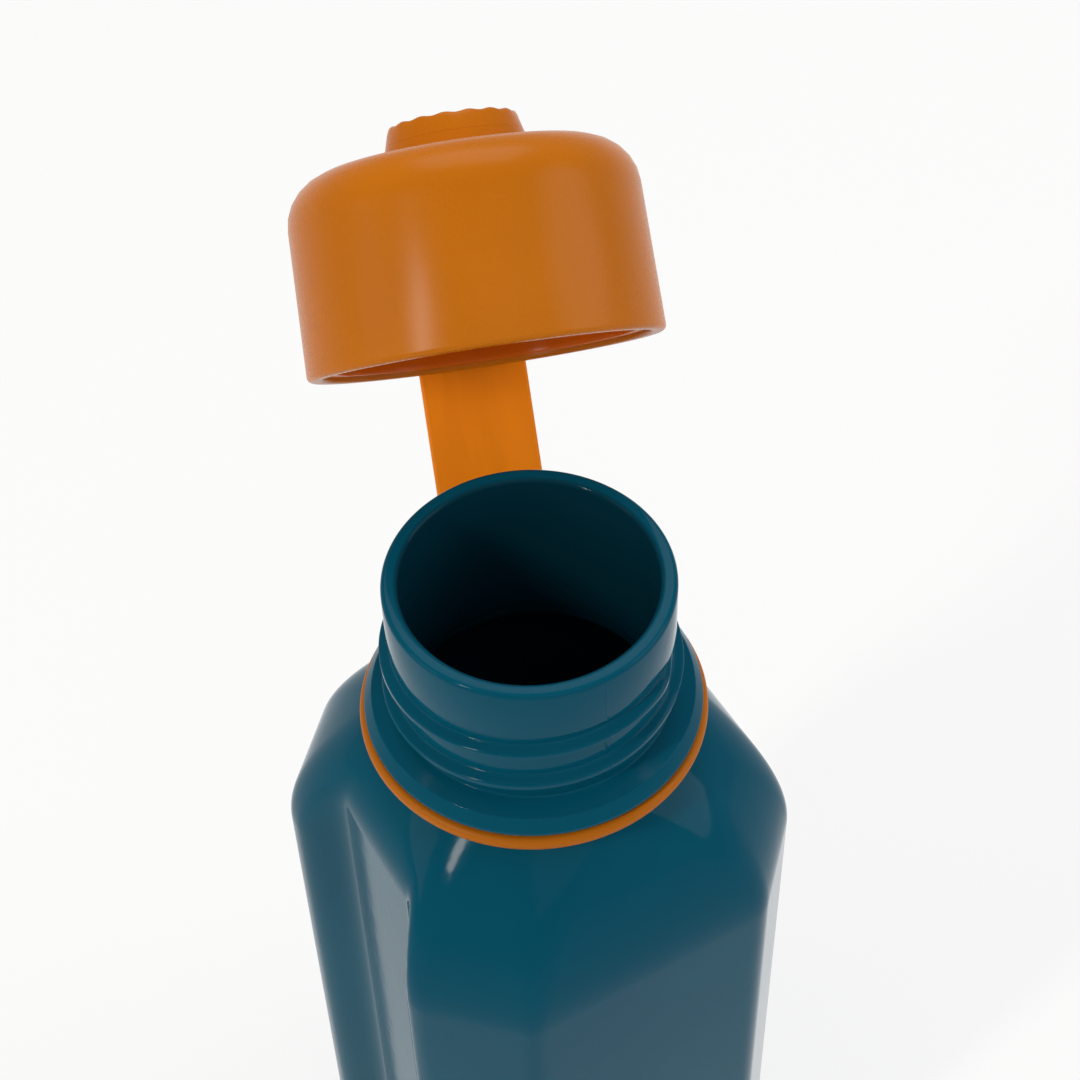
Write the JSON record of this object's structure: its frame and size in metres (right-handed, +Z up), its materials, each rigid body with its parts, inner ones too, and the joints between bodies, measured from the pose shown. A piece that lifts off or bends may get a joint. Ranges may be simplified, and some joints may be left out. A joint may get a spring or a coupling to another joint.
{
  "type": "screw-top drinking bottle with tethered cap",
  "caption": "Faceted square plastic drinking bottle with a round screw neck and a screw cap held by a flat strap on a loose neck ring; shown open, cap leaning back.",
  "frame": {"origin": "centre of the base, on the surface the bottle stands on", "axes": "+Z up along the bottle's axis, +Y towards the strap, +X to the right seen from the side opposite the strap"},
  "size_m": [0.0776, 0.1145, 0.2383],
  "materials": {
    "bottle_plastic": "glossy opaque moulded plastic",
    "strap_plastic": "smooth flexible plastic",
    "cap_plastic": "satin moulded plastic",
    "liner_plastic": "glossy moulded plastic",
    "gasket_rubber": "matte silicone"
  },
  "bodies": {
    "bottle": {"bottle": "bottle_plastic"},
    "neck_ring": {"strap_ring": "strap_plastic"},
    "root": {"strap_root": "strap_plastic"},
    "lower_band": {"strap_lower": "strap_plastic"},
    "upper_band": {"strap_upper": "strap_plastic"},
    "eye": {"strap_eye": "strap_plastic"},
    "cap": {"cap_shell": "cap_plastic", "cap_liner": "liner_plastic", "cap_gasket": "gasket_rubber", "cap_button": "cap_plastic"}
  },
  "joints": [
    {"name": "ring_swivel", "type": "hinge", "parent": "bottle", "child": "neck_ring", "pos_m": [0, 0, 0.1606], "axis": [0, 0, 1], "continuous": true},
    {"name": "strap_swing", "type": "hinge", "parent": "neck_ring", "child": "root", "pos_m": [0, 0.0284, 0.1606], "axis": [-1, 0, 0], "range_deg": [-48.3, 45], "stiffness_Nm_per_rad": 0.3},
    {"name": "strap_bow", "type": "hinge", "parent": "root", "child": "lower_band", "pos_m": [0, 0.03228, 0.16406], "axis": [-1, 0, 0], "range_deg": [0, 38.7], "stiffness_Nm_per_rad": 0.1},
    {"name": "strap_fold", "type": "hinge", "parent": "lower_band", "child": "upper_band", "pos_m": [0, 0.05319, 0.18269], "axis": [-1, 0, 0], "range_deg": [-77.4, 0], "stiffness_Nm_per_rad": 0.1},
    {"name": "eye_bend", "type": "hinge", "parent": "upper_band", "child": "eye", "pos_m": [0, 0.07409, 0.20131], "axis": [-1, 0, 0], "range_deg": [0, 38.7], "stiffness_Nm_per_rad": 0.1},
    {"name": "cap_twist", "type": "hinge", "parent": "eye", "child": "cap", "pos_m": [0, 0.05431, 0.22172], "axis": [0, 0.7466, 0.6652], "continuous": true}
  ],
  "couplings": [
    {"joint": "strap_bow", "follows": "strap_fold", "ratio": -0.5},
    {"joint": "eye_bend", "follows": "strap_fold", "ratio": -0.5}
  ]
}
